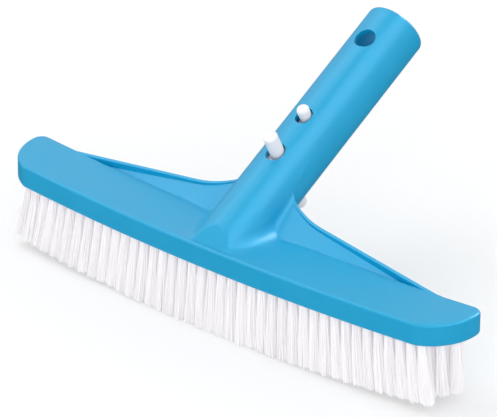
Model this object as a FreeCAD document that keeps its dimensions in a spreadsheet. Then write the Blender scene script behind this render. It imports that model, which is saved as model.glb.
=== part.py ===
"""Pool wall brush: a one-piece moulded head with wings and a hollow handle, five rows of bristle tufts held by
wire staples, and a white spring clip inside the handle whose pins lock it into a pole.

Every shape is drawn in the head's own frame, in millimetres: X runs along the head, Y goes backwards from the
middle of the front edge, and Z = 0 is the flat top. Each node's Placement then stands the brush on its bristles."""

import FreeCAD, Part
import Sketcher
import math
import os

V = FreeCAD.Vector
X_AXIS, Y_AXIS, Z_AXIS = V(1, 0, 0), V(0, 1, 0), V(0, 0, 1)

# name: (value, what it is), in millimetres or degrees
SIZES = {
    "front_y": (-70.7, "front edge of the head from the middle of the whole brush"),
    "top_z": (43.6, "flat top of the head above the bristle tips"),
    "head_depth": (29.8, "head from front to back, at its middle"),
    "head_thickness": (11.2, "head from its top to the face that the bristles leave"),
    "front_bow_radius": (1035.0, "arc of the front edge"),
    "back_bow_radius": (1225.0, "arc of the back edge"),
    "end_radius": (26.0, "arc of each end"),
    "front_corner_x": (112.2, "front corner of the outline"),
    "front_corner_y": (6.1, "front corner of the outline"),
    "back_corner_x": (127.0, "back corner of the outline"),
    "back_corner_y": (36.4, "back corner of the outline"),
    "front_corner_radius": (6.0, "rounding of the front corners"),
    "back_corner_radius": (5.0, "rounding of the back corners"),
    "top_edge_radius": (1.4, "rounding of the head's top edge"),
    "bottom_edge_radius": (2.0, "rounding of the head's bottom edge"),
    "handle_angle": (27.5, "handle's axis above the flat top"),
    "handle_y": (24.6, "where that axis meets the flat top"),
    "handle_radius": (14.1, "outside of the handle"),
    "handle_wall": (2.4, "wall of the handle"),
    "handle_end": (124.94, "open end, along the axis from the flat top"),
    "handle_start": (60.0, "start of the raw handle, ahead of the flat top along the axis"),
    "sleeve_start": (62.6, "where the straight sleeve that the pole goes over begins, along the axis"),
    "shank_radius": (14.42, "outside at the raw handle's start, from where a moulding's draft runs to the sleeve"),
    "bore_start": (8.0, "closed end of the bore, along the axis"),
    "rim_radius": (1.5, "rounding of the open end's outer edge"),
    "rim_inner_radius": (0.5, "rounding of the open end's inner edge"),
    "root_radius": (9.0, "fillet where the handle meets the flat top"),
    "root_reach": (27.0, "half width of the stretch of flat top that carries that fillet"),
    "apron_y": (2.6, "foot of the slope in front of the handle"),
    "apron_angle": (50.0, "that slope above the flat top"),
    "apron_edge_radius": (5.0, "rounding of the edge around that slope"),
    "wing_thickness": (3.0, "wall of each wing, measured upright"),
    "wing_floor_z": (-18.18, "plane of a wing's floor: height at the middle of the front edge"),
    "wing_floor_x": (-0.0846, "its slope away from the handle"),
    "wing_floor_y": (0.7095, "its slope backwards"),
    "wing_lip_z": (-13.64, "plane of the top of a wing's lip: height at the middle of the front edge"),
    "wing_lip_x": (-0.0606, "its slope away from the handle"),
    "wing_lip_y": (0.6006, "its slope backwards"),
    "wing_lip_width": (1.1, "lip from front to back"),
    "wing_end_x": (104.0, "outer end of a wing's lip"),
    "wing_end_y": (33.2, "back of the lip there"),
    "wing_bend_x": (35.5, "where the lip begins to curve up to the handle"),
    "wing_bend_y": (37.95, "back of the lip there"),
    "wing_root_x": (14.0, "where the lip meets the handle"),
    "wing_root_y": (44.8, "back of the lip there"),
    "wing_groove_x": (40.0, "where the groove between head and wing begins"),
    "wing_groove_inset": (2.0, "that groove's cutter inside the head, which then fills the cut again"),
    "wing_foot_radius": (3.0, "fillet where a wing's floor meets the flat top"),
    "wing_side_radius": (4.0, "fillet where a wing's floor meets the handle"),
    "cross_hole_at": (105.8, "hole through the handle near its end, along the axis"),
    "cross_hole_radius": (5.0, "that hole"),
    "pin_at": (58.0, "locking pin, along the axis"),
    "pin_radius": (2.9, "locking pin"),
    "pin_reach": (18.3, "tip of the locking pin from the axis"),
    "pin_tip_radius": (1.3, "rounded rim of the locking pin's tip"),
    "pin_hole_radius": (3.7, "ends of the hole for the locking pin"),
    "tab_at": (35.6, "finger tab, along the axis"),
    "tab_radius": (3.4, "finger tab"),
    "tab_reach": (24.2, "tip of the finger tab from the axis"),
    "tab_tip_radius": (0.9, "rounded rim of the finger tab's tip"),
    "tab_hole_radius": (4.2, "ends of the hole for the finger tab"),
    "hole_give": (1.6, "length that lets a button swing in its hole, towards the head"),
    "clip_width": (8.4, "spring clip from side to side"),
    "clip_thickness": (1.8, "strip of the spring clip"),
    "clip_pivot_at": (84.0, "where the arms leave the bow, along the axis"),
    "clip_pivot_out": (6.2, "middle of the strip there, from the axis"),
    "clip_tail_at": (31.0, "free end of each arm, along the axis"),
    "clip_tail_out": (9.6, "middle of the strip at its free end, from the axis"),
    "clip_gap": (0.3, "clearance between bow and arm, where the strip flexes"),
    "tuft_pitch": (5.8, "tufts along the middle row"),
    "pitch_step": (0.07, "how much wider apart the tufts of each row stand than those of the row in front of it"),
    "tip_pitch": (5.9, "tips of the tufts along every row"),
    "row_pitch": (4.75, "rows across the head"),
    "row_bow_radius": (1290.0, "arc of each row"),
    "tuft_radius": (1.8, "tuft in its hole"),
    "tip_radius": (2.6, "tuft at its tip"),
    "tuft_hole_depth": (7.0, "blind hole for a tuft"),
    "tip_bow_radius": (1430.0, "arc of the trimmed tips"),
    "splay_across": (0.05, "spread of the tips across the head, as a share of the distance from its middle row"),
    "staple_length": (4.2, "anchor staple across its hole"),
    "staple_wire": (0.35, "thickness of the staple's flat wire"),
    "staple_height": (1.6, "height of the staple's flat wire"),
}

# rows from front to back: name, tufts on each side of the middle, and whether the row is half a pitch over
TUFT_ROWS = (
    ("front", 20, False),
    ("front_inner", 20, True),
    ("middle", 20, False),
    ("back_inner", 21, True),
    ("back", 20, False),
)
RAW_REACH = 60.0  # how far raw stock runs past what is kept of it
PAST_WING = 6.0  # how far the raw wings run past their outer ends
NO_SIZE = 1e-4  # an edge shorter than this in some direction lies across that direction


def make_sheet(doc):
    sheet = doc.addObject("Spreadsheet::Sheet", "Sizes")
    for row, (name, (value, meaning)) in enumerate(SIZES.items(), 1):
        sheet.set(f"A{row}", name)
        sheet.set(f"B{row}", str(value))
        sheet.set(f"C{row}", meaning)
        sheet.setAlias(f"B{row}", name)
    doc.recompute()
    return sheet


doc = FreeCAD.newDocument("pool_wall_brush")
sheet = make_sheet(doc)


def size(name):
    return float(sheet.get(name))


def bind(thing, **expressions):
    for prop, text in expressions.items():
        thing.setExpression(prop.replace("__", "."), text)
    return thing


def on_axis(along, out=0.0, x=0.0):
    """A point of the handle: along its axis from the flat top, out from that axis upwards, and x."""
    angle = math.radians(size("handle_angle"))
    return V(
        x,
        size("handle_y") + along * math.cos(angle) - out * math.sin(angle),
        along * math.sin(angle) + out * math.cos(angle),
    )


def handle_turn():
    """Turns +Z to the handle's axis, which rises backwards, and +X, where a cylinder has its seam, to the upper
    side of the handle."""
    return FreeCAD.Rotation(X_AXIS, size("handle_angle") - 90.0) * FreeCAD.Rotation(Z_AXIS, -90.0)


def slope_turn():
    return FreeCAD.Rotation(X_AXIS, size("apron_angle"))


def add_cylinder(name, radius, height, base, turn):
    cylinder = doc.addObject("Part::Cylinder", name)
    bind(cylinder, Radius=radius, Height=height)
    cylinder.Placement = FreeCAD.Placement(base, turn)
    return cylinder


def add_box(name, length, width, height, corner, turn=FreeCAD.Rotation()):
    box = doc.addObject("Part::Box", name)
    box.Length, box.Width, box.Height = length, width, height
    box.Placement = FreeCAD.Placement(corner, turn)
    return box


def fuse(name, shapes):
    union = doc.addObject("Part::MultiFuse", name)
    union.Shapes = shapes
    return union


def cut(name, base, tool):
    difference = doc.addObject("Part::Cut", name)
    difference.Base = base
    difference.Tool = tool
    return difference


def round_edges(name, base, radii):
    """Part::Fillet on chosen edges: radii maps an edge's number to the name of its radius."""
    fillet = doc.addObject("Part::Fillet", name)
    fillet.Base = base
    fillet.Edges = [(number, size(radius), size(radius)) for number, radius in radii.items()]
    return fillet


def feature(name, shape):
    thing = doc.addObject("Part::Feature", name)
    thing.Shape = shape
    return thing


def flat_edges_at(shape, z):
    """Names of the edges that lie in the level plane at z."""
    names = []
    for number, edge in enumerate(shape.Edges, 1):
        box = edge.BoundBox
        if abs(box.ZMin - z) < NO_SIZE and abs(box.ZMax - z) < NO_SIZE:
            names.append(f"Edge{number}")
    return names


def upright_edges(shape, near_front):
    """Names of the four corner edges: those of the front corners or those of the back corners."""
    names = []
    for number, edge in enumerate(shape.Edges, 1):
        box = edge.BoundBox
        upright = box.XLength < NO_SIZE and box.YLength < NO_SIZE
        if upright and (box.YMin < size("head_depth") / 2) == near_front:
            names.append(f"Edge{number}")
    return names


def origin_plane(body, role):
    return next(f for f in body.Origin.OriginFeatures if f.Role == role)


def corner_points():
    """Corners of the outline, anticlockwise from the front left."""
    front_x, front_y = size("front_corner_x"), size("front_corner_y")
    back_x, back_y = size("back_corner_x"), size("back_corner_y")
    return [V(-front_x, front_y, 0), V(front_x, front_y, 0), V(back_x, back_y, 0), V(-back_x, back_y, 0)]


def arc_between(start, end, radius, outward):
    chord = end - start
    side = V(chord.y, -chord.x, 0).normalize()
    sagitta = radius - math.sqrt(radius**2 - (chord.Length / 2) ** 2)
    return Part.Arc(start, (start + end) / 2 + side * sagitta * outward, end)


def draw_head_outline(body):
    """Front, right, back and left arcs. Only the back one bends inwards."""
    sketch = body.newObject("Sketcher::SketchObject", "head_outline")
    sketch.AttachmentSupport = (origin_plane(body, "XY_Plane"), [""])
    sketch.MapMode = "FlatFace"
    corners = corner_points()
    radii = ("front_bow_radius", "end_radius", "back_bow_radius", "end_radius")
    for number, radius in enumerate(radii):
        outward = -1 if radius == "back_bow_radius" else 1
        start, end = corners[number], corners[(number + 1) % 4]
        sketch.addGeometry(arc_between(start, end, size(radius), outward), False)
    for number, radius in enumerate(radii):
        rule = sketch.addConstraint(Sketcher.Constraint("Radius", number, size(radius)))
        sketch.setExpression(f"Constraints[{rule}]", f"Sizes.{radius}")
    tie_corners(sketch, corners)
    return sketch


def tie_corners(sketch, corners):
    """Joins the arcs at each corner, and holds that corner at its distances from the origin."""

    def end_at(arc, corner):
        return min((1, 2), key=lambda end: sketch.getPoint(arc, end).distanceToPoint(corner))

    cells = ("front_corner", "front_corner", "back_corner", "back_corner")
    for number, (corner, cell) in enumerate(zip(corners, cells)):
        here, before = end_at(number, corner), end_at((number - 1) % 4, corner)
        sketch.addConstraint(Sketcher.Constraint("Coincident", (number - 1) % 4, before, number, here))
        sign = "-" if corner.x < 0 else ""
        across = sketch.addConstraint(Sketcher.Constraint("DistanceX", number, here, corner.x))
        back = sketch.addConstraint(Sketcher.Constraint("DistanceY", number, here, corner.y))
        sketch.setExpression(f"Constraints[{across}]", f"{sign}Sizes.{cell}_x")
        sketch.setExpression(f"Constraints[{back}]", f"Sizes.{cell}_y")


def add_design_fillet(body, name, base, edges, radius):
    fillet = body.newObject("PartDesign::Fillet", name)
    fillet.Base = (base, edges)
    fillet.setExpression("Radius", f"Sizes.{radius}")
    doc.recompute()
    return fillet


def build_head():
    """The bowed block that carries the bristles."""
    body = doc.addObject("PartDesign::Body", "head_block")
    pad = body.newObject("PartDesign::Pad", "head_pad")
    pad.Profile = draw_head_outline(body)
    pad.Reversed = True
    pad.setExpression("Length", "Sizes.head_thickness")
    doc.recompute()
    edges = upright_edges(pad.Shape, True)
    front = add_design_fillet(body, "front_corners", pad, edges, "front_corner_radius")
    edges = upright_edges(front.Shape, False)
    back = add_design_fillet(body, "back_corners", front, edges, "back_corner_radius")
    top = add_design_fillet(body, "soft_top_edge", back, flat_edges_at(back.Shape, 0.0), "top_edge_radius")
    edges = flat_edges_at(top.Shape, -size("head_thickness"))
    add_design_fillet(body, "soft_bottom_edge", top, edges, "bottom_edge_radius")
    return body


def plane_z(plane, x, y):
    """Height of a wing's floor or lip plane at a place; x counts away from the handle for both wings."""
    return size(f"{plane}_z") + size(f"{plane}_x") * x + size(f"{plane}_y") * y


def block_between(places, low, high, side):
    """A six-sided solid over four places (x, y), from low(x, y) up to high(x, y), mirrored for side -1."""
    lower = [V(side * x, y, low(x, y)) for x, y in places]
    upper = [V(side * x, y, high(x, y)) for x, y in places]
    quads = [lower, upper]
    for start, end in ((0, 1), (1, 2), (2, 3), (3, 0)):
        quads.append([lower[start], lower[end], upper[end], upper[start]])
    shell = Part.Shell([Part.Face(Part.makePolygon(quad + quad[:1])) for quad in quads])
    solid = Part.Solid(shell)
    if solid.Volume < 0:
        solid.reverse()
    return solid


def on_both_sides(name, make):
    return [feature(f"{name}_right", make(1)), feature(f"{name}_left", make(-1))]


def floor_z(x, y):
    return plane_z("wing_floor", x, y)


def under_z(x, y):
    return plane_z("wing_floor", x, y) - size("wing_thickness")


def lip_z(x, y):
    return plane_z("wing_lip", x, y)


def wing_plan(near, far):
    """Corners of a wing's raw plan, between two distances behind the front edge."""
    past = size("wing_end_x") + PAST_WING
    return [(0, near), (past, near), (past, far), (0, far)]


def wing_floor(side):
    """The raw wing: everything under its floor plane."""
    places = wing_plan(size("head_depth") / 3, RAW_REACH)
    return block_between(places, lambda x, y: -RAW_REACH, floor_z, side)


def space_under_wing(side):
    return block_between(wing_plan(0, 2 * RAW_REACH), lambda x, y: -2 * RAW_REACH, under_z, side)


def lip_points(side, ahead):
    """Plan of the lip's back edge, or of a line ahead of it: outer end, bend, middle of the bend, root."""
    end, bend, root = (
        V(size(f"wing_{name}_x"), size(f"wing_{name}_y"), 0) for name in ("end", "bend", "root")
    )
    chord = root - bend
    start_angle = math.atan2(bend.y - end.y, end.x - bend.x)
    half_turn = math.atan2(chord.y, -chord.x) - start_angle
    sagitta = chord.Length / 2 * math.tan(half_turn / 2)
    middle = (bend + root) / 2 - V(-chord.y, chord.x, 0).normalize() * -sagitta
    return [V(side * p.x, p.y - ahead, 0) for p in (end, bend, middle, root)]


def lip_edges(side, ahead, z):
    end, bend, middle, root = (p + V(0, 0, z) for p in lip_points(side, ahead))
    return [Part.makeLine(end, bend), Part.Arc(bend, middle, root).toShape()]


def plan_solid(edges, corners, height):
    """A solid over a plan: the given edges in a chain, closed by straight lines through the corners."""
    path = Part.Wire(edges).OrderedVertexes
    chain = [path[-1].Point] + corners + [path[0].Point]
    lines = [Part.makeLine(start, end) for start, end in zip(chain, chain[1:])]
    return Part.Face(Part.Wire(edges + lines)).extrude(Z_AXIS * height)


def space_behind_wing(side):
    """Everything behind the lip's back edge."""
    end, _, _, root = lip_points(side, 0)
    far, base, back = end.x + side * RAW_REACH, -2 * RAW_REACH, 4 * RAW_REACH
    corners = [V(0, root.y, base), V(0, back, base), V(far, back, base), V(far, end.y, base)]
    return plan_solid(lip_edges(side, 0, base), corners, 4 * RAW_REACH)


def groove(side):
    """Space over a wing's floor behind the head's back edge, along the outer part of the wing."""
    start, far = size("wing_groove_x"), size("wing_end_x") + PAST_WING

    def inside_back_edge(x):
        return size("head_depth") + x**2 / (2 * size("back_bow_radius")) - size("wing_groove_inset")

    near = [(x, inside_back_edge(x)) for x in (start, far)]
    places = near + [(far, RAW_REACH), (start, RAW_REACH)]
    return block_between(places, floor_z, lambda x, y: RAW_REACH, side)


def wing_lip(side):
    """The raised strip along a wing's back edge."""
    front = lip_edges(side, size("wing_lip_width"), -RAW_REACH)
    back = lip_edges(side, 0, -RAW_REACH)
    ends = [
        Part.makeLine(front[0].Vertexes[0].Point, back[0].Vertexes[0].Point),
        Part.makeLine(front[1].Vertexes[-1].Point, back[1].Vertexes[-1].Point),
    ]
    strip = Part.Face(Part.Wire(Part.__sortEdges__(front + back + ends))).extrude(Z_AXIS * 2 * RAW_REACH)
    return strip.common(block_between(wing_plan(size("head_depth") / 2, RAW_REACH), under_z, lip_z, side))


def root_creases(shape):
    """Inner corners of the raw root and the names of their radii: handle on flat top, wing on flat top, and
    wing on handle."""
    creases = {}
    for number, edge in enumerate(shape.Edges, 1):
        box, straight = edge.BoundBox, edge.Curve.TypeId == "Part::GeomLine"
        level = box.ZLength < NO_SIZE and abs(box.ZMax) < NO_SIZE
        runs_back = box.YMax > RAW_REACH - 0.01 and box.YMin < size("wing_root_y")
        if level and edge.Curve.TypeId == "Part::GeomEllipse":
            creases[number] = "root_radius"
        elif level and straight and box.XLength > size("root_reach") and box.YMin > size("handle_y"):
            creases[number] = "wing_foot_radius"
        elif not straight and box.ZMin > -0.01 and runs_back:
            creases[number] = "wing_side_radius"
    return creases


def apron_edges(shape):
    """Edges around the slope in front of the handle, all but its foot on the flat top."""
    slope = Part.Plane(V(0, size("apron_y"), 0), slope_turn().multVec(Z_AXIS)).toShape()
    edges = {}
    for number, edge in enumerate(shape.Edges, 1):
        middle = edge.valueAt((edge.FirstParameter + edge.LastParameter) / 2)
        raised = edge.BoundBox.ZMax > NO_SIZE
        if raised and slope.distToShape(Part.Vertex(middle))[0] < NO_SIZE:
            edges[number] = "apron_edge_radius"
    return edges


def build_handle():
    """The raw handle: a straight sleeve, and a shank under it with a slight draft."""
    shank = doc.addObject("Part::Cone", "shank")
    bind(
        shank,
        Radius1="Sizes.shank_radius",
        Radius2="Sizes.handle_radius",
        Height="Sizes.handle_start + Sizes.sleeve_start",
    )
    shank.Placement = FreeCAD.Placement(on_axis(-size("handle_start")), handle_turn())
    sleeve = add_cylinder(
        "sleeve",
        "Sizes.handle_radius",
        "Sizes.handle_end - Sizes.sleeve_start",
        on_axis(size("sleeve_start")),
        handle_turn(),
    )
    return fuse("handle", [shank, sleeve])


def build_root():
    """The handle and the two wings with the fillets between them, on a plate that the head swallows."""
    thickness = size("head_thickness")
    handle = build_handle()
    far = size("wing_end_x") + PAST_WING
    plate = add_box("root_plate", 2 * far, 2 * RAW_REACH, thickness, V(-far, -RAW_REACH, -thickness))
    joined = fuse("raw_root", [plate, *on_both_sides("floor", wing_floor), handle])
    joined.Refine = True
    doc.recompute()
    blended = round_edges("blended_root", joined, root_creases(joined.Shape))
    around = on_both_sides("behind", space_behind_wing) + on_both_sides("under", space_under_wing)
    spared = cut("trim_around_handle", fuse("trim_wings", around), handle)
    trimmed = cut("trimmed_wings", blended, spared)
    return cut("root", trimmed, fuse("root_trims", on_both_sides("groove", groove) + root_trims(thickness)))


def root_trims(thickness):
    """What else is cut from the raw root: all under the head, all ahead of it, what lies beyond the wings, and
    the slope in front of the handle."""
    foot, reach, end = size("apron_y"), size("root_reach"), size("wing_end_x")
    beside = size("head_depth") / 3
    wide, tall = 4 * end, 2 * RAW_REACH
    below = add_box("trim_below", wide, 4 * RAW_REACH, tall, V(-wide / 2, -2 * RAW_REACH, -thickness - tall))
    ahead = add_box("trim_ahead", wide, 2 * RAW_REACH, 2 * tall, V(-wide / 2, foot - 2 * RAW_REACH, -tall))
    slope = slope_turn()
    corner = V(-wide / 2, foot, 0) - slope.multVec(V(0, RAW_REACH, 0))
    over = add_box("trim_apron", wide, 3 * RAW_REACH, tall, corner, slope)
    trims = [below, ahead, over]
    for name, x in (("right", reach), ("left", -reach - end)):
        trims.append(add_box(f"trim_{name}_plate", end, RAW_REACH, 2 * tall, V(x, beside - RAW_REACH, -tall)))
    for name, x in (("right", end), ("left", -2 * end)):
        trims.append(add_box(f"trim_{name}_end", end, 3 * RAW_REACH, 2 * tall, V(x, -RAW_REACH, -tall)))
    return trims


def tuft_places(row):
    """Roots of one row's tufts on the head's underside, with their tips: x and y, then x and y again."""
    index = [name for name, _, _ in TUFT_ROWS].index(row)
    _, each_side, shifted = TUFT_ROWS[index]
    from_middle = index - (len(TUFT_ROWS) - 1) / 2
    across = from_middle * size("row_pitch")
    pitch = size("tuft_pitch") + from_middle * size("pitch_step")
    if shifted:
        steps = [k + 0.5 for k in range(-each_side, each_side)]
    else:
        steps = range(-each_side, each_side + 1)
    places = []
    for step in steps:
        x = step * pitch
        middle = size("head_depth") / 2 + x**2 / (2 * size("row_bow_radius"))
        tip_y = middle + across * (1 + size("splay_across"))
        places.append((x, middle + across, step * size("tip_pitch"), tip_y))
    return places


def circle_wire(centre, radius):
    return Part.Wire(Part.makeCircle(radius, centre, Z_AXIS))


def tuft(x, y, tip_x, tip_y):
    """A tuft: straight in its hole, then spreading to its trimmed tip."""
    underside = -size("head_thickness")
    tip = V(tip_x, tip_y, tip_x**2 / (2 * size("tip_bow_radius")) - size("top_z"))
    rings = [
        circle_wire(V(x, y, underside + size("tuft_hole_depth")), size("tuft_radius")),
        circle_wire(V(x, y, underside), size("tuft_radius")),
        circle_wire(tip, size("tip_radius")),
    ]
    return Part.makeLoft(rings, True, True)


def tuft_hole(x, y):
    depth = size("tuft_hole_depth")
    start = V(x, y, -size("head_thickness") - depth)
    return Part.makeCylinder(size("tuft_radius"), 2 * depth, start, Z_AXIS)


def staple(x, y):
    """A flat wire anchor across the bottom of a tuft's hole."""
    length, wire, height = size("staple_length"), size("staple_wire"), size("staple_height")
    top = size("tuft_hole_depth") - size("head_thickness")
    return Part.makeBox(length, wire, height, V(x - length / 2, y - wire / 2, top - height))


def build_row_pieces():
    """Each row's tufts are one node, and its staples another."""
    nodes = []
    for row, _, _ in TUFT_ROWS:
        places = tuft_places(row)
        nodes.append(feature(f"tufts_{row}_row", Part.makeCompound([tuft(*place) for place in places])))
        staples = [staple(x, y) for x, y, _, _ in places]
        nodes.append(feature(f"staples_{row}_row", Part.makeCompound(staples)))
    return nodes


def build_bores():
    """The handle's bore, the hole across its end and the clip's four holes, as rods right through. The clip's
    holes are two rods each: where the button stands at rest, and the way it swings when it is pressed."""
    across = FreeCAD.Rotation(X_AXIS, size("handle_angle"))
    bore = add_cylinder(
        "handle_bore",
        "Sizes.handle_radius - Sizes.handle_wall",
        "Sizes.handle_end",
        on_axis(size("bore_start")),
        handle_turn(),
    )
    rods = [bore]
    give = size("hole_give")
    for name, hole, at in (
        ("cross_hole", "cross_hole", size("cross_hole_at")),
        ("pin_hole", "pin_hole", size("pin_at")),
        ("pin_hole_give", "pin_hole", size("pin_at") - give),
        ("tab_hole", "tab_hole", size("tab_at")),
        ("tab_hole_give", "tab_hole", size("tab_at") - give),
    ):
        start = on_axis(at, -2 * size("handle_radius"))
        rods.append(add_cylinder(name, f"Sizes.{hole}_radius", "4 * Sizes.handle_radius", start, across))
    return rods


def rim_edges(shape):
    """Outer and inner circle of the open end."""
    end = on_axis(size("handle_end"))
    radii = {}
    for number, edge in enumerate(shape.Edges, 1):
        if edge.Curve.TypeId == "Part::GeomCircle" and edge.Curve.Center.distanceToPoint(end) < 1e-3:
            outer = edge.Curve.Radius > size("handle_radius") - 1e-3
            radii[number] = "rim_radius" if outer else "rim_inner_radius"
    return radii


def build_brush_body():
    moulding = fuse("moulding", [build_head(), build_root(), *on_both_sides("lip", wing_lip)])
    moulding.Refine = True
    doc.recompute()
    softer = round_edges("soft_apron", moulding, apron_edges(moulding.Shape))
    bored = cut("bored_moulding", softer, fuse("bores", build_bores()))
    doc.recompute()
    softened = round_edges("soft_rim", bored, rim_edges(bored.Shape))
    holes = [tuft_hole(x, y) for row, _, _ in TUFT_ROWS for x, y, _, _ in tuft_places(row)]
    return cut("brush_body", softened, feature("tuft_holes", Part.makeCompound(holes)))


def clip_point(along, out, side):
    """A point of the clip's middle plane; side is 1 above the axis and -1 under it."""
    return on_axis(along, out * side)


def clip_arm_strip(side):
    """The flat arm, between its root at the bow and its free end."""
    gap = size("clip_gap")
    root = clip_point(size("clip_pivot_at"), size("clip_pivot_out"), side)
    tail = clip_point(size("clip_tail_at"), size("clip_tail_out"), side)
    way = (tail - root).normalize()
    half = X_AXIS.cross(way).normalize() * size("clip_thickness") / 2
    start = root + way * gap
    outline = Part.makePolygon([start + half, tail + half, tail - half, start - half, start + half])
    strip = Part.Face(outline).extrude(X_AXIS * size("clip_width"))
    strip.translate(X_AXIS * (-size("clip_width") / 2))
    return strip


def clip_button(side, name):
    """A round button with a rounded tip, standing on an arm at right angles to the handle."""
    pivot, tail, at = size("clip_pivot_at"), size("clip_tail_at"), size(f"{name}_at")
    share = (pivot - at) / (pivot - tail)
    seat = size("clip_pivot_out") + share * (size("clip_tail_out") - size("clip_pivot_out"))
    base, tip = clip_point(at, seat, side), clip_point(at, size(f"{name}_reach"), side)
    button = Part.makeCylinder(size(f"{name}_radius"), (tip - base).Length, base, tip - base)
    rim = [edge for edge in button.Edges if edge.Curve.TypeId == "Part::GeomCircle"]
    farthest = max(rim, key=lambda edge: edge.Curve.Center.distanceToPoint(base))
    return button.makeFillet(size(f"{name}_tip_radius"), [farthest])


def build_clip_arm(name, side):
    strip = clip_arm_strip(side)
    buttons = [clip_button(side, "pin"), clip_button(side, "tab")]
    return feature(name, strip.fuse(buttons).removeSplitter())


def build_clip_bow():
    """The half ring that joins the two arms, towards the handle's open end."""
    middle, half = size("clip_pivot_out"), size("clip_thickness") / 2
    at, width = size("clip_pivot_at"), size("clip_width")
    outer = Part.makeCylinder(middle + half, width, on_axis(at, 0, -width / 2), X_AXIS)
    inner = Part.makeCylinder(middle - half, width, on_axis(at, 0, -width / 2), X_AXIS)
    big = 4 * middle
    keep = Part.makeBox(big, big, big, V(-big / 2, -big / 2, 0))
    keep.Placement = FreeCAD.Placement(on_axis(at), handle_turn())
    return feature("clip_bow", outer.cut(inner).common(keep))


def label_and_place(node):
    node.Label = node.Name
    node.Placement = FreeCAD.Placement(V(0, size("front_y"), size("top_z")), FreeCAD.Rotation())
    for axis, cell in (("y", "front_y"), ("z", "top_z")):
        node.setExpression(f"Placement.Base.{axis}", f"Sizes.{cell}")


def check_document():
    for thing in doc.Objects:
        if "Invalid" in thing.State or "Error" in thing.State:
            raise RuntimeError(f"{thing.Name} did not build")
    for node in nodes:
        if node.Shape.isNull() or not node.Shape.isValid() or not node.Shape.Solids:
            raise RuntimeError(f"{node.Label} is not a valid solid")


nodes = [build_brush_body(), build_clip_bow()]
nodes += [build_clip_arm("clip_arm_upper", 1), build_clip_arm("clip_arm_lower", -1)]
nodes += build_row_pieces()
doc.recompute()
for node in nodes:
    label_and_place(node)
doc.recompute()
check_document()

os.makedirs("parts", exist_ok=True)
for node in nodes:
    node.Shape.exportStep(f"parts/{node.Label}.step")
    box = node.Shape.BoundBox
    print(node.Label, len(node.Shape.Solids), round(node.Shape.Volume, 1), box)
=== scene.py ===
"""Looks of the pool wall brush: moulded blue plastic, a white spring clip and five rows of nylon tufts."""

import math
import random

import bpy
import numpy as np
from mathutils import Matrix, Vector


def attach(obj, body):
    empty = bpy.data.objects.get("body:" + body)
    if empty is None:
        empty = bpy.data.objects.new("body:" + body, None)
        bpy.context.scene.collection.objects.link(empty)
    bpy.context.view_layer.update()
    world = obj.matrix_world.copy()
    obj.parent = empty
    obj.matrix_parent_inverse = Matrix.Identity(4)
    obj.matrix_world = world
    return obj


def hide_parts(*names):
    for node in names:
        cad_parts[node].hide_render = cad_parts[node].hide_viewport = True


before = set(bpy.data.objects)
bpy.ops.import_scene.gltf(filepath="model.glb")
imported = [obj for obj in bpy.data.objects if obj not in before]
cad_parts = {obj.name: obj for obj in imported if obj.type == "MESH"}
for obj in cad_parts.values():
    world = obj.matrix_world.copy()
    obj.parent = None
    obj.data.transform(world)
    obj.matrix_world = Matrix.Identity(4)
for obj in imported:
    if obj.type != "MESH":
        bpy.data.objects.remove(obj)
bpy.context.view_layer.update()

MM = 0.001

# the head, in millimetres: y of its front edge, height of its flat top, depth and thickness
FRONT_Y, TOP_Z = -70.7, 43.6
HEAD_DEPTH, HEAD_THICKNESS = 29.8, 11.2
BRISTLE_LENGTH = (TOP_Z - HEAD_THICKNESS) * MM

# the tufts' roots, in millimetres: row to row, tuft to tuft, its growth per row, radius of the rows' curve
ROW_PITCH, TUFT_PITCH, PITCH_STEP, ROW_BOW = 4.75, 5.8, 0.07, 1290.0

# their tips: tuft to tuft, radius of the trimmed curve, and how far the rows part, as a share
TIP_PITCH, TIP_BOW, SPLAY_ACROSS = 5.9, 1430.0, 0.05

# one tuft, in millimetres: radius at its root and at its tip
TUFT_RADIUS, TIP_RADIUS = 1.8, 3.2

# rows from front to back: name, tufts on each side of the middle, whether it stands half a pitch over
ROWS = (
    ("front", 20, False),
    ("front_inner", 20, True),
    ("middle", 20, False),
    ("back_inner", 21, True),
    ("back", 20, False),
)


# ---------------------------------------------------------------- finishes


def new_node(tree, kind, x, y, **values):
    node = tree.nodes.new(kind)
    node.location = (x, y)
    for name, value in values.items():
        node.inputs[name.replace("_", " ")].default_value = value
    return node


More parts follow.
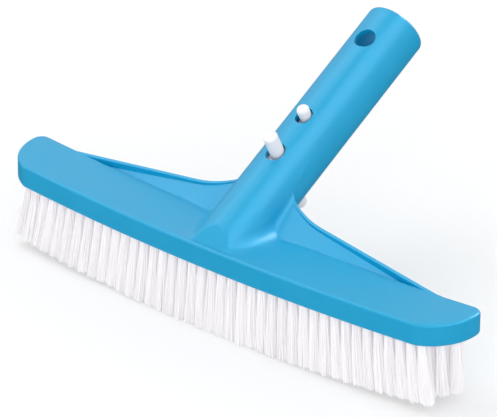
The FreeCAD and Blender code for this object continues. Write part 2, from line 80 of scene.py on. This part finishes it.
def moulded_skin_group():
    """Faint mottling and the fine grain of a moulded surface: out come a tint, a roughness and a height."""
    tree = bpy.data.node_groups.new("moulded_skin", "ShaderNodeTree")
    for name, kind in (
        ("Position", "NodeSocketVector"),
        ("Base", "NodeSocketColor"),
        ("Mottled", "NodeSocketColor"),
        ("Mottle Size", "NodeSocketFloat"),
        ("Grain Size", "NodeSocketFloat"),
        ("Roughness", "NodeSocketFloat"),
        ("Roughness Spread", "NodeSocketFloat"),
    ):
        tree.interface.new_socket(name, in_out="INPUT", socket_type=kind)
    for name, kind in (
        ("Tint", "NodeSocketColor"),
        ("Roughness", "NodeSocketFloat"),
        ("Height", "NodeSocketFloat"),
    ):
        tree.interface.new_socket(name, in_out="OUTPUT", socket_type=kind)
    link = tree.links.new
    start = tree.nodes.new("NodeGroupInput")
    end = tree.nodes.new("NodeGroupOutput")
    start.location, end.location = (-800, 0), (700, 0)

    clouds = new_node(tree, "ShaderNodeTexNoise", -500, 250, Detail=3.0, Roughness=0.6)
    link(start.outputs["Position"], clouds.inputs["Vector"])
    link(start.outputs["Mottle Size"], clouds.inputs["Scale"])
    soften = new_node(tree, "ShaderNodeMapRange", -280, 250)
    soften.interpolation_type = "SMOOTHSTEP"
    soften.inputs["From Min"].default_value = 0.3
    soften.inputs["From Max"].default_value = 0.7
    link(clouds.outputs["Fac"], soften.inputs["Value"])
    tint = tree.nodes.new("ShaderNodeMix")
    tint.data_type = "RGBA"
    tint.location = (-40, 250)
    link(soften.outputs["Result"], tint.inputs["Factor"])
    link(start.outputs["Base"], tint.inputs["A"])
    link(start.outputs["Mottled"], tint.inputs["B"])
    link(tint.outputs["Result"], end.inputs["Tint"])

    grain = new_node(tree, "ShaderNodeTexNoise", -500, -150, Detail=4.0, Roughness=0.55)
    link(start.outputs["Position"], grain.inputs["Vector"])
    link(start.outputs["Grain Size"], grain.inputs["Scale"])
    link(grain.outputs["Fac"], end.inputs["Height"])

    spread = tree.nodes.new("ShaderNodeMath")
    spread.operation = "MULTIPLY_ADD"
    spread.location = (200, 0)
    link(soften.outputs["Result"], spread.inputs[0])
    link(start.outputs["Roughness Spread"], spread.inputs[1])
    link(start.outputs["Roughness"], spread.inputs[2])
    link(spread.outputs["Value"], end.inputs["Roughness"])
    return tree


def moulded_plastic(name, base, mottled, roughness, spread, mottle_size, grain_size, grain_depth, level):
    material = bpy.data.materials.new(name)
    material.use_nodes = True
    tree = material.node_tree
    shader = tree.nodes["Principled BSDF"]
    link = tree.links.new
    place = new_node(tree, "ShaderNodeTexCoord", -900, 0)
    skin = tree.nodes.new("ShaderNodeGroup")
    skin.node_tree = MOULDED_SKIN
    skin.location = (-600, 0)
    skin.inputs["Base"].default_value = base
    skin.inputs["Mottled"].default_value = mottled
    skin.inputs["Mottle Size"].default_value = mottle_size
    skin.inputs["Grain Size"].default_value = grain_size
    skin.inputs["Roughness"].default_value = roughness
    skin.inputs["Roughness Spread"].default_value = spread
    link(place.outputs["Object"], skin.inputs["Position"])
    bump = new_node(tree, "ShaderNodeBump", -300, -200, Strength=0.5, Distance=grain_depth)
    link(skin.outputs["Height"], bump.inputs["Height"])
    link(skin.outputs["Tint"], shader.inputs["Base Color"])
    link(skin.outputs["Roughness"], shader.inputs["Roughness"])
    link(bump.outputs["Normal"], shader.inputs["Normal"])
    shader.inputs["Specular IOR Level"].default_value = level
    return material


def bristle_nylon():
    """Milky filaments, a little darker and pinker at their roots than at their tips, with a faint painted
    glow that lifts the shade between them.
    """
    material = bpy.data.materials.new("bristle_nylon")
    material.use_nodes = True
    tree = material.node_tree
    shader = tree.nodes["Principled BSDF"]
    link = tree.links.new
    place = new_node(tree, "ShaderNodeTexCoord", -1100, 0)
    split = new_node(tree, "ShaderNodeSeparateXYZ", -900, 150)
    link(place.outputs["Object"], split.inputs["Vector"])
    height = new_node(tree, "ShaderNodeMapRange", -700, 150)
    height.inputs["From Min"].default_value = 0.0
    height.inputs["From Max"].default_value = BRISTLE_LENGTH
    link(split.outputs["Z"], height.inputs["Value"])
    shade = tree.nodes.new("ShaderNodeValToRGB")
    shade.location = (-500, 150)
    shade.color_ramp.elements[0].position = 0.0
    shade.color_ramp.elements[0].color = (0.985, 0.975, 0.985, 1.0)
    shade.color_ramp.elements[1].position = 1.0
    shade.color_ramp.elements[1].color = (0.97, 0.95, 0.97, 1.0)
    link(height.outputs["Result"], shade.inputs["Fac"])
    stretch = tree.nodes.new("ShaderNodeMapping")
    stretch.location = (-900, -150)
    stretch.inputs["Scale"].default_value = (1.0, 1.0, 0.05)
    link(place.outputs["Object"], stretch.inputs["Vector"])
    streaks = new_node(tree, "ShaderNodeTexNoise", -700, -150, Scale=900.0, Detail=2.0)
    link(stretch.outputs["Vector"], streaks.inputs["Vector"])
    gloss = new_node(tree, "ShaderNodeMapRange", -500, -150)
    gloss.inputs["To Min"].default_value = 0.32
    gloss.inputs["To Max"].default_value = 0.5
    link(streaks.outputs["Fac"], gloss.inputs["Value"])
    link(shade.outputs["Color"], shader.inputs["Base Color"])
    link(gloss.outputs["Result"], shader.inputs["Roughness"])
    shader.inputs["Specular IOR Level"].default_value = 0.25
    # painted light: a faint glow on the filaments that lifts the shade they cast on one another
    shader.inputs["Emission Color"].default_value = (1.0, 0.985, 1.0, 1.0)
    shader.inputs["Emission Strength"].default_value = 0.11
    return material


def staple_steel():
    """Drawn steel wire with fine lines along it."""
    material = bpy.data.materials.new("staple_steel")
    material.use_nodes = True
    tree = material.node_tree
    shader = tree.nodes["Principled BSDF"]
    link = tree.links.new
    place = new_node(tree, "ShaderNodeTexCoord", -900, 0)
    stretch = tree.nodes.new("ShaderNodeMapping")
    stretch.location = (-700, 0)
    stretch.inputs["Scale"].default_value = (0.05, 1.0, 1.0)
    link(place.outputs["Object"], stretch.inputs["Vector"])
    lines = new_node(tree, "ShaderNodeTexNoise", -500, 0, Scale=4000.0, Detail=2.0)
    link(stretch.outputs["Vector"], lines.inputs["Vector"])
    wear = new_node(tree, "ShaderNodeMapRange", -300, 0)
    wear.inputs["To Min"].default_value = 0.25
    wear.inputs["To Max"].default_value = 0.45
    link(lines.outputs["Fac"], wear.inputs["Value"])
    link(wear.outputs["Result"], shader.inputs["Roughness"])
    shader.inputs["Base Color"].default_value = (0.62, 0.6, 0.56, 1.0)
    shader.inputs["Metallic"].default_value = 1.0
    return material


MOULDED_SKIN = moulded_skin_group()
BLUE = moulded_plastic(
    "blue_moulding",
    (0.001, 0.345, 0.62, 1.0),
    (0.003, 0.356, 0.635, 1.0),
    roughness=0.34,
    spread=0.06,
    mottle_size=60.0,
    grain_size=1600.0,
    grain_depth=0.00004,
    level=0.45,
)
WHITE = moulded_plastic(
    "white_clip_plastic",
    (0.93, 0.915, 0.93, 1.0),
    (0.91, 0.89, 0.91, 1.0),
    roughness=0.4,
    spread=0.05,
    mottle_size=200.0,
    grain_size=2500.0,
    grain_depth=0.00003,
    level=0.4,
)
NYLON = bristle_nylon()
STEEL = staple_steel()


def dress_node(name, material):
    node = bpy.data.objects[name]
    for slot in node.material_slots:
        slot.material = material
    if not node.material_slots:
        node.data.materials.append(material)


dress_node("brush_body", BLUE)
for name in ("clip_arm_upper", "clip_arm_lower", "clip_bow"):
    dress_node(name, WHITE)
for row, _, _ in ROWS:
    dress_node(f"staples_{row}_row", STEEL)


# ---------------------------------------------------------------- bristles

PATTERNS = 8
FILAMENTS_IN_TUFT = 90
FILAMENT_TIP, FILAMENT_ROOT = 0.17 * MM, 0.19 * MM
FILAMENT_CUTS = (0.33, 0.66)  # where a filament can bend, as shares of its length
GOLDEN_ANGLE = 2.39996
DISC_FILL = 0.94  # the filaments' middles keep this share of the tuft's radius
LEAN, BOW = 0.16, 0.08  # spread of the filaments' leaning and bowing, as shares of that disc
TURN_JITTER = 0.25
UNEVEN_TRIM = 0.25  # most that a filament falls short, in millimetres
TUFT_LEAN = 0.2  # spread of the tufts' own leaning at the tip, in millimetres
TUFT_TRIM = 0.1  # most that a whole tuft falls short, in millimetres
TUFT_CURL = 1.3  # a tuft bends over more towards its tip


def deselect_all():
    for thing in bpy.context.selected_objects:
        thing.select_set(False)
    bpy.context.view_layer.objects.active = None


def model_filament():
    """One nylon filament, standing on its tip: a four-sided rod, thinner at the trimmed end."""
    deselect_all()
    bpy.ops.mesh.primitive_cone_add(
        vertices=4,
        radius1=FILAMENT_TIP,
        radius2=FILAMENT_ROOT,
        depth=BRISTLE_LENGTH,
        end_fill_type="NOTHING",
        location=(0, 0, BRISTLE_LENGTH / 2),
    )
    filament = bpy.context.object
    bpy.ops.object.transform_apply(location=True, rotation=True, scale=True)
    bpy.ops.object.mode_set(mode="EDIT")
    for share in FILAMENT_CUTS:
        bpy.ops.mesh.select_all(action="SELECT")
        bpy.ops.mesh.bisect(plane_co=(0, 0, BRISTLE_LENGTH * share), plane_no=(0, 0, 1))
    bpy.ops.object.mode_set(mode="OBJECT")
    filament.name = "filament"
    return filament


def copy_of(thing):
    twin = thing.copy()
    twin.data = thing.data.copy()
    bpy.context.collection.objects.link(twin)
    return twin


def join_all(things, name):
    deselect_all()
    for thing in things:
        thing.select_set(True)
    bpy.context.view_layer.objects.active = things[0]
    bpy.ops.object.join()
    joined = bpy.context.object
    joined.name = name
    joined.data.name = name
    return joined


def vertices_of(mesh):
    points = np.empty(len(mesh.vertices) * 3)
    mesh.vertices.foreach_get("co", points)
    return points.reshape(-1, 3)


def set_vertices(mesh, points):
    mesh.vertices.foreach_set("co", points.ravel())
    mesh.update()


def share_down(points):
    """0 at the head's underside, 1 at the tips."""
    return np.clip(1.0 - points[:, 2] / BRISTLE_LENGTH, 0.0, 1.0)


def bundle_tuft(filament, number):
    """A tuft at the origin: roots packed in a disc, each filament leaning and bowing a little."""
    chance = random.Random(100 + number)
    disc = TUFT_RADIUS * DISC_FILL * MM
    strands = []
    for k in range(FILAMENTS_IN_TUFT):
        strand = copy_of(filament)
        points = vertices_of(strand.data)
        down = share_down(points)
        reach = math.sqrt((k + 0.5) / FILAMENTS_IN_TUFT)
        turn = k * GOLDEN_ANGLE + chance.uniform(-TURN_JITTER, TURN_JITTER)
        root = np.array([math.cos(turn), math.sin(turn)]) * reach
        lean = np.array([chance.gauss(0, LEAN), chance.gauss(0, LEAN)])
        bow = np.array([chance.gauss(0, BOW), chance.gauss(0, BOW)])
        spread = 1 + (TIP_RADIUS / TUFT_RADIUS - 1) * down
        for axis in (0, 1):
            bent = bow[axis] * down * (1 - down) * 4
            points[:, axis] += (root[axis] * spread + lean[axis] * down + bent) * disc
        points[:, 2] += chance.uniform(0.0, UNEVEN_TRIM) * MM * down
        set_vertices(strand.data, points)
        strands.append(strand)
    return join_all(strands, f"tuft_pattern_{number}")


def tuft_places(row):
    """Where one row's tufts stand and where their tips end: x and y, then x and y again, in millimetres."""
    index = [name for name, _, _ in ROWS].index(row)
    _, each_side, shifted = ROWS[index]
    from_middle = index - (len(ROWS) - 1) / 2
    across = from_middle * ROW_PITCH
    pitch = TUFT_PITCH + from_middle * PITCH_STEP
    if shifted:
        steps = [k + 0.5 for k in range(-each_side, each_side)]
    else:
        steps = range(-each_side, each_side + 1)
    places = []
    for step in steps:
        x = step * pitch
        middle = HEAD_DEPTH / 2 + x**2 / (2 * ROW_BOW)
        places.append((x, middle + across, step * TIP_PITCH, middle + across * (1 + SPLAY_ACROSS)))
    return places


def plant_tuft(pattern, place, chance):
    """Copies a tuft to its hole, turned at random, and leans it to its own tip."""
    x, y, tip_x, tip_y = place
    tuft = copy_of(pattern)
    points = vertices_of(tuft.data)
    down = share_down(points)
    turn = chance.uniform(0, 2 * math.pi)
    cos, sin = math.cos(turn), math.sin(turn)
    points[:, :2] = points[:, :2] @ np.array([[cos, sin], [-sin, cos]])
    lean_x = tip_x - x + chance.gauss(0, TUFT_LEAN)
    lean_y = tip_y - y + chance.gauss(0, TUFT_LEAN)
    points[:, 0] += (x + lean_x * down**TUFT_CURL) * MM
    points[:, 1] += (FRONT_Y + y + lean_y * down**TUFT_CURL) * MM
    rise = tip_x**2 / (2 * TIP_BOW) + chance.uniform(0.0, TUFT_TRIM)
    points[:, 2] = np.maximum(points[:, 2], 0.0) + rise * MM * down
    set_vertices(tuft.data, points)
    return tuft


def make_bristles():
    filament = model_filament()
    patterns = [bundle_tuft(filament, number) for number in range(PATTERNS)]
    chance = random.Random(7)
    for row, _, _ in ROWS:
        tufts = [plant_tuft(chance.choice(patterns), place, chance) for place in tuft_places(row)]
        bristles = join_all(tufts, f"bristles_{row}_row")
        bristles.data.materials.clear()
        bristles.data.materials.append(NYLON)
        deselect_all()
        bristles.select_set(True)
        bpy.context.view_layer.objects.active = bristles
        bpy.ops.object.shade_smooth()
        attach(bristles, "head")
        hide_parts(f"tufts_{row}_row")
    for thing in [filament, *patterns]:
        bpy.data.objects.remove(thing, do_unlink=True)


make_bristles()


# ---------------------------------------------------------------- studio

SKY_LIGHT = 0.84  # how bright the white surroundings are as light; the camera sees them at 1

# soft lamps that only gloss shows: direction, degrees to where each starts to fade and to its rim, strength
GLOSS_LAMPS = (
    ((0.555, -0.07, 0.83), 6.0, 34.0, 3.8),
    ((-0.555, -0.1, 0.8), 5.0, 32.0, 2.4),
    ((0.2, 0.685, 0.66), 4.0, 14.0, 36.0),
)

# square lamps: name, place in metres, side, power in watts
AREA_LIGHTS = (
    ("key_light", (-0.9, -0.3, 1.8), 1.2, 5.5),
    ("fill_light", (1.2, -1.5, 0.7), 1.4, 8.0),
)
LIT_POINT = (0, 0, 0.04)

CAMERA_PLACE = (1.23223, -1.55974, 1.09724)
CAMERA_RIGHT = (0.77298, 0.63433, 0.01095)
CAMERA_DOWN = (0.30665, -0.35846, -0.88174)
CAMERA_AHEAD = (-0.55539, 0.68493, -0.47160)


def add_math(tree, operation, x, y, *values):
    node = tree.nodes.new("ShaderNodeMath")
    node.operation = operation
    node.location = (x, y)
    for number, value in enumerate(values):
        if isinstance(value, float):
            node.inputs[number].default_value = value
        else:
            tree.links.new(value, node.inputs[number])
    return node.outputs["Value"]


def light_for_camera(tree, path, x, y):
    """1 for the background as it is seen, directly or through glass, and 0 for it as light."""
    camera, through_glass = path.outputs["Is Camera Ray"], path.outputs["Is Transmission Ray"]
    return add_math(tree, "MAXIMUM", x, y, camera, through_glass)


def facing(tree, place, towards, narrow, wide, strength, x, y):
    """A soft round lamp in the surroundings, around one direction."""
    turn = tree.nodes.new("ShaderNodeVectorMath")
    turn.operation = "DOT_PRODUCT"
    turn.location = (x, y)
    turn.inputs[1].default_value = Vector(towards).normalized()
    tree.links.new(place.outputs["Generated"], turn.inputs[0])
    fade = new_node(tree, "ShaderNodeMapRange", x + 200, y)
    fade.interpolation_type = "SMOOTHSTEP"
    fade.inputs["From Min"].default_value = math.cos(math.radians(wide))
    fade.inputs["From Max"].default_value = math.cos(math.radians(narrow))
    fade.inputs["To Max"].default_value = strength
    tree.links.new(turn.outputs["Value"], fade.inputs["Value"])
    return fade.outputs["Result"]


def sky_in_gloss(tree, x, y):
    """The surroundings as gloss shows them: pale above, dim below the horizon, with the soft lamps."""
    place = new_node(tree, "ShaderNodeTexCoord", x - 200, y)
    split = new_node(tree, "ShaderNodeSeparateXYZ", x, y)
    tree.links.new(place.outputs["Generated"], split.inputs["Vector"])
    fade = new_node(tree, "ShaderNodeMapRange", x + 200, y)
    fade.interpolation_type = "SMOOTHSTEP"
    fade.inputs["From Min"].default_value = -0.35
    fade.inputs["From Max"].default_value = 0.4
    fade.inputs["To Min"].default_value = 0.1
    fade.inputs["To Max"].default_value = 1.2
    tree.links.new(split.outputs["Z"], fade.inputs["Value"])
    total = fade.outputs["Result"]
    for number, (towards, narrow, wide, strength) in enumerate(GLOSS_LAMPS, 1):
        lamp = facing(tree, place, towards, narrow, wide, strength, x, y - 200 * number)
        total = add_math(tree, "ADD", x + 400, y - 200 * number, total, lamp)
    return total


def make_world():
    world = bpy.data.worlds.new("studio")
    bpy.context.scene.world = world
    world.use_nodes = True
    tree = world.node_tree
    back = tree.nodes["Background"]
    back.inputs["Color"].default_value = (1.0, 1.0, 1.0, 1.0)
    path = new_node(tree, "ShaderNodeLightPath", -1500, 0)
    seen = light_for_camera(tree, path, -1100, 200)
    as_light = new_node(tree, "ShaderNodeMapRange", -850, 200)
    as_light.inputs["To Min"].default_value = SKY_LIGHT
    as_light.inputs["To Max"].default_value = 1.0
    tree.links.new(seen, as_light.inputs["Value"])
    gloss = sky_in_gloss(tree, -1300, -300)
    as_gloss = add_math(tree, "SUBTRACT", -600, -300, gloss, as_light.outputs["Result"])
    in_gloss = add_math(tree, "MULTIPLY", -400, -300, as_gloss, path.outputs["Is Glossy Ray"])
    total = add_math(tree, "ADD", -200, 0, as_light.outputs["Result"], in_gloss)
    tree.links.new(total, back.inputs["Strength"])


def make_floor():
    deselect_all()
    bpy.ops.mesh.primitive_plane_add(size=6.0, location=(0, 0, -0.0002))
    floor = bpy.context.object
    floor.name = "studio_floor"
    material = bpy.data.materials.new("studio_paper")
    material.use_nodes = True
    tree = material.node_tree
    shader = tree.nodes["Principled BSDF"]
    shader.inputs["Base Color"].default_value = (0.9, 0.9, 0.9, 1.0)
    shader.inputs["Roughness"].default_value = 0.9
    shader.inputs["Specular IOR Level"].default_value = 0.1
    shader.inputs["Emission Color"].default_value = (1.0, 1.0, 1.0, 1.0)
    path = new_node(tree, "ShaderNodeLightPath", -1100, -300)
    seen = light_for_camera(tree, path, -700, -300)
    glow = new_node(tree, "ShaderNodeMapRange", -250, -300)
    glow.inputs["To Min"].default_value = 0.0
    glow.inputs["To Max"].default_value = 0.12
    tree.links.new(seen, glow.inputs["Value"])
    tree.links.new(glow.outputs["Result"], shader.inputs["Emission Strength"])
    floor.data.materials.append(material)
    floor.visible_glossy = False


def add_area_light(name, place, size, power):
    light = bpy.data.lights.new(name, "AREA")
    light.shape = "SQUARE"
    light.size = size
    light.energy = power
    lamp = bpy.data.objects.new(name, light)
    bpy.context.collection.objects.link(lamp)
    lamp.location = place
    lamp.visible_glossy = False
    lamp.rotation_euler = (Vector(LIT_POINT) - Vector(place)).to_track_quat("-Z", "Y").to_euler()


def make_camera():
    camera = bpy.data.cameras.new("camera")
    camera.lens = 362.1
    camera.sensor_width = 36.0
    camera.clip_start, camera.clip_end = 0.05, 50.0
    eye = bpy.data.objects.new("camera", camera)
    bpy.context.collection.objects.link(eye)
    turn = Matrix((Vector(CAMERA_RIGHT), -Vector(CAMERA_DOWN), -Vector(CAMERA_AHEAD)))
    place = turn.transposed().to_4x4()
    place.translation = CAMERA_PLACE
    eye.matrix_world = place
    bpy.context.scene.camera = eye


make_world()
make_floor()
for light in AREA_LIGHTS:
    add_area_light(*light)
make_camera()
bpy.context.scene.view_settings.view_transform = "Standard"
